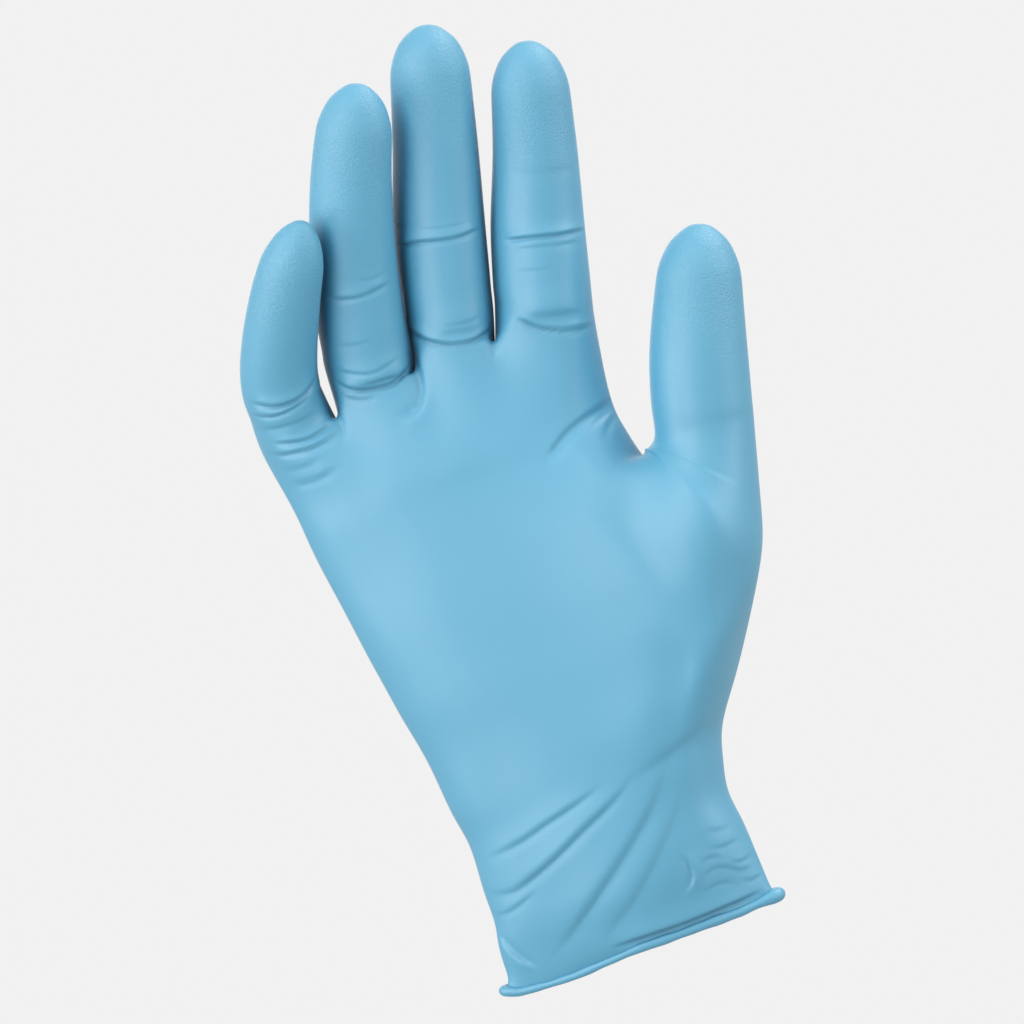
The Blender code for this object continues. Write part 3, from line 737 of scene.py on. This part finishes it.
def film_material(name):
    """Dyed nitrile: satin, with faint blotches of dye and a fine grain, strongest on the fingertips, and
    painted shade in the gaps and creases, where the colour is darkened to a deep blue.
    """
    material = bpy.data.materials.new(name)
    material.use_nodes = True
    nodes, links = material.node_tree.nodes, material.node_tree.links
    shader = nodes["Principled BSDF"]
    shader.inputs["Metallic"].default_value = 0.0
    shader.inputs["IOR"].default_value = 1.55
    shader.inputs["Specular IOR Level"].default_value = 1.0
    shader.inputs["Sheen Weight"].default_value = 0.12
    shader.inputs["Sheen Roughness"].default_value = 0.5

    rest = nodes.new("ShaderNodeAttribute")
    rest.attribute_name = "rest"
    grain = nodes.new("ShaderNodeAttribute")
    grain.attribute_name = "grain"

    blotches = nodes.new("ShaderNodeTexNoise")
    blotches.inputs["Scale"].default_value = 45.0
    blotches.inputs["Detail"].default_value = 3.0
    links.new(rest.outputs["Vector"], blotches.inputs["Vector"])
    dye = nodes.new("ShaderNodeMix")
    dye.data_type = "RGBA"
    dye.inputs["A"].default_value = (*FILM_COLOUR_DEEP, 1.0)
    dye.inputs["B"].default_value = (*FILM_COLOUR, 1.0)
    links.new(blotches.outputs["Fac"], dye.inputs["Factor"])
    # painted shade: where ambient occlusion finds a gap or a crease, the colour is mixed towards a deep blue,
    # standing in for the light that gets in there and bounces off the film several times
    hollow = nodes.new("ShaderNodeAmbientOcclusion")
    hollow.samples = 6
    hollow.inputs["Distance"].default_value = 7.0 * MM
    depth = nodes.new("ShaderNodeMapRange")
    depth.inputs["From Min"].default_value = 0.28
    depth.inputs["From Max"].default_value = 0.72
    links.new(hollow.outputs["AO"], depth.inputs["Value"])
    shade = nodes.new("ShaderNodeMix")
    shade.data_type = "RGBA"
    shade.inputs["A"].default_value = (*FILM_COLOUR_PAINTED_GAP_SHADE, 1.0)
    links.new(dye.outputs["Result"], shade.inputs["B"])
    links.new(depth.outputs["Result"], shade.inputs["Factor"])
    links.new(shade.outputs["Result"], shader.inputs["Base Color"])

    pebbles = nodes.new("ShaderNodeTexNoise")
    pebbles.inputs["Scale"].default_value = 2200.0
    pebbles.inputs["Detail"].default_value = 2.0
    links.new(rest.outputs["Vector"], pebbles.inputs["Vector"])
    gloss = nodes.new("ShaderNodeMapRange")
    gloss.inputs["To Min"].default_value = FILM_ROUGHNESS - 0.05
    gloss.inputs["To Max"].default_value = FILM_ROUGHNESS + 0.07
    links.new(blotches.outputs["Fac"], gloss.inputs["Value"])
    links.new(gloss.outputs["Result"], shader.inputs["Roughness"])
    stretched = nodes.new("ShaderNodeMapping")
    stretched.inputs["Scale"].default_value = (0.35, 0.35, 1.6)
    links.new(rest.outputs["Vector"], stretched.inputs["Vector"])
    creping = nodes.new("ShaderNodeTexNoise")
    creping.inputs["Scale"].default_value = 700.0
    creping.inputs["Detail"].default_value = 3.0
    links.new(stretched.outputs["Vector"], creping.inputs["Vector"])
    crepe = nodes.new("ShaderNodeBump")
    crepe.inputs["Strength"].default_value = 0.55
    crepe.inputs["Distance"].default_value = 0.04 * MM
    links.new(creping.outputs["Fac"], crepe.inputs["Height"])
    raised = nodes.new("ShaderNodeMath")
    raised.operation = "MULTIPLY"
    links.new(pebbles.outputs["Fac"], raised.inputs[0])
    links.new(grain.outputs["Fac"], raised.inputs[1])
    bump = nodes.new("ShaderNodeBump")
    bump.inputs["Strength"].default_value = 1.0
    bump.inputs["Distance"].default_value = 0.24 * MM
    links.new(raised.outputs["Value"], bump.inputs["Height"])
    links.new(crepe.outputs["Normal"], bump.inputs["Normal"])
    links.new(bump.outputs["Normal"], shader.inputs["Normal"])
    return material


# --- Rolled rim ----------------------------------------------------------------------------------------

RIM_RADIUS = 1.05
RIM_STEP = 2  # points of the skin's mouth to each point of the rim
# Across, height of the front of the rim, from the little finger's corner to the thumb's.
RIM_FRONT = (
    (-36.6, 0.0), (-32.6, -1.6), (-24.8, -2.0), (-18.0, -1.9), (-11.4, -1.3), (-0.2, -0.3),
    (10.4, -0.4), (18.5, -0.3), (26.5, -0.4), (33.5, 0.1), (37.0, 0.4),
)
RIM_BACK = 0.6  # height of the rim behind
HANG_HEIGHT = 9.0  # below which the film follows the rim up and down


def rim_height(x, y):
    """Height of the rim's centre line: wavy in front, nearly level behind."""
    xs = [p[0] for p in RIM_FRONT]
    zs = [p[1] for p in RIM_FRONT]
    front = np.interp(x, xs, zs)
    behind = smooth((y + 2.0) / 8.0)
    return front + behind * (RIM_BACK - front)


def mouth_of(dense):
    """The points around the skin's open end, in order."""
    counts = {}
    for polygon in dense.polygons:
        corners = polygon.vertices
        for a, b in zip(corners, [*corners[1:], corners[0]]):
            key = (min(a, b), max(a, b))
            counts[key] = counts.get(key, 0) + 1
    edges = {}
    for (a, b), uses in counts.items():
        if uses == 1:
            edges.setdefault(a, []).append(b)
            edges.setdefault(b, []).append(a)
    start = next(iter(edges))
    ring, last, here = [], None, start
    while here != start or not ring:
        ring.append(here)
        last, here = here, next(v for v in edges[here] if v != last)
    return [dense.vertices[i].co.copy() for i in ring]


def make_rim(dense):
    ring = mouth_of(dense)
    curve = bpy.data.curves.new("cuff_rim", "CURVE")
    curve.dimensions = "3D"
    curve.bevel_depth = RIM_RADIUS * MM
    curve.bevel_resolution = 6
    spline = curve.splines.new("POLY")
    ring = ring[::RIM_STEP]
    spline.points.add(len(ring) - 1)
    for point, place in zip(spline.points, ring):
        x = place.x / MM
        pinch = float(smooth((abs(x) - 31.0) / 5.0))
        fuller = float(smooth((x + 12.0) / 24.0))
        ear = float(smooth((x - 33.0) / 3.0))
        sway = 0.18 * math.sin(0.35 * x + 0.6) + 0.1 * math.sin(0.9 * x + 2.0)
        point.co = (place.x * (1.0 + 0.012 * pinch), place.y, place.z, 1.0)
        point.radius = 1.0 + 0.25 * fuller + 0.2 * pinch + 0.25 * ear + 0.5 * sway
    spline.use_cyclic_u = True
    bead = bpy.data.objects.new("rim_curve", curve)
    bpy.context.scene.collection.objects.link(bead)
    rolled = bpy.data.meshes.new_from_object(bead.evaluated_get(bpy.context.evaluated_depsgraph_get()))
    bpy.data.objects.remove(bead, do_unlink=True)
    rolled.shade_smooth()
    co = np.empty(3 * len(rolled.vertices))
    rolled.vertices.foreach_get("co", co)
    rest = rolled.attributes.new("rest", "FLOAT_VECTOR", "POINT")
    rest.data.foreach_set("vector", co.astype(np.float32))
    grain = rolled.attributes.new("grain", "FLOAT", "POINT")
    grain.data.foreach_set("value", np.full(len(rolled.vertices), FAINT_GRAIN, np.float32))
    return rolled


# --- Assembly ------------------------------------------------------------------------------------------


ROOT_BLEND_START = 2.0  # along the stall, where its first bend starts
BLEND_MARGIN = 0.5  # from a bend's end to the edge of its drawn piece


def blend_piece(piece, stall, part):
    """Works out where the piece's bend across the crease it holds would start and end, which nothing uses,
    and bakes the piece's place into its mesh.
    """
    spine = SPINES[stall]
    index = {"root": 0, "middle": 1, "tip": len(spine.knots) - 2}[part]
    if part == "root":
        start = ROOT_BLEND_START
        end = spine.middle(0) - BLEND_MARGIN
    elif part == "middle":
        start = spine.middle(index - 1) + BLEND_MARGIN
        end = spine.middle(index) - BLEND_MARGIN
    else:
        start = spine.middle(index - 1) + BLEND_MARGIN
        end = 2 * spine.knots[index] - start
    start_point = spine.frame(start)[0] * MM
    end_point = spine.frame(end)[0] * MM
    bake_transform(piece)


def add_object(name, mesh, material):
    mesh.materials.clear()
    mesh.materials.append(material)
    piece = bpy.data.objects.new(name, mesh)
    bpy.context.scene.collection.objects.link(piece)
    return piece


def make_glove():
    film = film_material("nitrile_film")
    dense, names = make_skin(make_cage())
    code = stall_of_vertices(dense, names)
    rest = np.empty(3 * len(dense.vertices))
    dense.vertices.foreach_get("co", rest)
    values = {"rest": rest.reshape(-1, 3), "grain": grain_of_vertices(dense, code)}
    hang(dense)
    displace(dense, code)
    normals = np.empty(3 * len(dense.vertices))
    dense.vertex_normals.foreach_get("vector", normals)
    normals = normals.reshape(-1, 3)
    rim = make_rim(dense)
    for index, name in enumerate(names):
        mesh, used = cut_piece(dense, normals, index, name)
        finish_piece(mesh, used, values, normals)
        piece = add_object(f"{name}_film" if name != "palm" else "hand_film", mesh, film)
        if name == "palm":
            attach(piece, "hand")
            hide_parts("palm_front", "back_of_hand", "cuff", "thumb_mount")
            continue
        stall, part = name.split("_")
        blend_piece(piece, stall, part)
        stiff_zone = f"{stall}_base" if part == "root" else f"{stall}_{part}"
        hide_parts(f"{stall}_{part}_crease", stiff_zone)
    bead = add_object("cuff_bead", rim, film_material("nitrile_rim"))
    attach(bead, "hand")
    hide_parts("cuff_rim")


# --- Stage ---------------------------------------------------------------------------------------------

LEAN = math.radians(19.0)  # the glove's lean in the picture
AIM = Vector((0.00505, -0.005, 0.1142))
DISTANCE = 1.6
PICTURE_WIDTH = 0.2593  # at the glove
SENSOR = 36.0
ROOM_LIGHT = 0.96
BACKDROP_LIGHT = 0.55
BRIGHT_SIDE = (-0.27, -0.78, 0.52)


PAPER = 0.88
FLOOR_GREY = 0.35
FLOOR_GLOW = 0.42
FLOOR_RADIUS = 1.6
FLOOR_HEIGHT = -0.32
LIGHTS = (  # name, place, size in metres, power in watts
    ("key_top_left", (-0.25, -1.05, 1.15), (0.8, 0.5), 3.0),
    ("strip_left", (-0.7, -1.2, 0.45), (0.4, 1.2), 5.0),
    ("far_left", (-1.3, -0.6, 0.5), (0.6, 1.2), 7.0),
    ("fill_right", (1.3, -0.5, 0.3), (0.8, 1.2), 5.5),
    ("top_right", (1.0, 0.1, 1.15), (0.5, 0.5), 8.0),
    ("behind", (0.0, 2.2, 0.8), (2.2, 1.6), 14.0),
)


def make_camera():
    data = bpy.data.cameras.new("camera")
    data.sensor_width = SENSOR
    data.lens = SENSOR * DISTANCE / PICTURE_WIDTH
    camera = bpy.data.objects.new("camera", data)
    right = Vector((math.cos(LEAN), 0.0, -math.sin(LEAN)))
    up = Vector((math.sin(LEAN), 0.0, math.cos(LEAN)))
    back = Vector((0.0, -1.0, 0.0))
    turned = Matrix((right, up, back)).transposed().to_4x4()
    camera.matrix_world = Matrix.Translation(AIM + DISTANCE * back) @ turned
    bpy.context.scene.collection.objects.link(camera)
    bpy.context.scene.camera = camera


def add_light(name, place, size, power):
    data = bpy.data.lights.new(name, "AREA")
    data.shape = "RECTANGLE"
    data.size, data.size_y = size
    data.energy = power
    light = bpy.data.objects.new(name, data)
    light.location = place
    light.rotation_mode = "QUATERNION"
    light.rotation_quaternion = (AIM - Vector(place)).to_track_quat("-Z", "Y")
    bpy.context.scene.collection.objects.link(light)


def make_stage():
    world = bpy.data.worlds.new("studio")
    world.use_nodes = True
    nodes, links = world.node_tree.nodes, world.node_tree.links
    paper = nodes["Background"]
    paper.inputs["Color"].default_value = (*3 * (PAPER,), 1.0)
    room = nodes.new("ShaderNodeBackground")
    # the soft light comes mostly from above on the palm's side, and the far side of the room is darker
    where = nodes.new("ShaderNodeTexCoord")
    towards = nodes.new("ShaderNodeVectorMath")
    towards.operation = "DOT_PRODUCT"
    towards.inputs[1].default_value = Vector(BRIGHT_SIDE).normalized()
    links.new(where.outputs["Generated"], towards.inputs[0])
    level = nodes.new("ShaderNodeMapRange")
    level.interpolation_type = "SMOOTHSTEP"
    level.inputs["From Min"].default_value = -0.9
    level.inputs["From Max"].default_value = 0.9
    level.inputs["To Min"].default_value = BACKDROP_LIGHT
    level.inputs["To Max"].default_value = ROOM_LIGHT
    links.new(towards.outputs["Value"], level.inputs["Value"])
    links.new(level.outputs["Result"], room.inputs["Strength"])
    room.inputs["Color"].default_value = (*3 * (PAPER,), 1.0)
    seen = nodes.new("ShaderNodeLightPath")
    either = nodes.new("ShaderNodeMixShader")
    links.new(seen.outputs["Is Camera Ray"], either.inputs["Fac"])
    links.new(room.outputs["Background"], either.inputs[1])
    links.new(paper.outputs["Background"], either.inputs[2])
    links.new(either.outputs["Shader"], nodes["World Output"].inputs["Surface"])
    bpy.context.scene.world = world
    bpy.context.scene.view_settings.view_transform = "Standard"

    floor_mesh = bpy.data.meshes.new("floor")
    shape = bmesh.new()
    bmesh.ops.create_circle(shape, cap_ends=True, segments=96, radius=FLOOR_RADIUS)
    shape.to_mesh(floor_mesh)
    shape.free()
    pale = bpy.data.materials.new("pale_floor")
    pale.use_nodes = True
    shader = pale.node_tree.nodes["Principled BSDF"]
    shader.inputs["Base Color"].default_value = (*3 * (FLOOR_GREY,), 1.0)
    shader.inputs["Roughness"].default_value = 0.8
    # its glow is only for the camera, so that it meets the paper and throws no light on the film
    shader.inputs["Emission Color"].default_value = (*3 * (FLOOR_GLOW,), 1.0)
    looked_at = pale.node_tree.nodes.new("ShaderNodeLightPath")
    pale.node_tree.links.new(looked_at.outputs["Is Camera Ray"], shader.inputs["Emission Strength"])
    floor_mesh.materials.append(pale)
    floor = bpy.data.objects.new("floor", floor_mesh)
    floor.location = (0.0, 0.0, FLOOR_HEIGHT)
    bpy.context.scene.collection.objects.link(floor)

    for name, place, size, power in LIGHTS:
        add_light(name, place, size, power)


make_glove()
make_camera()
make_stage()
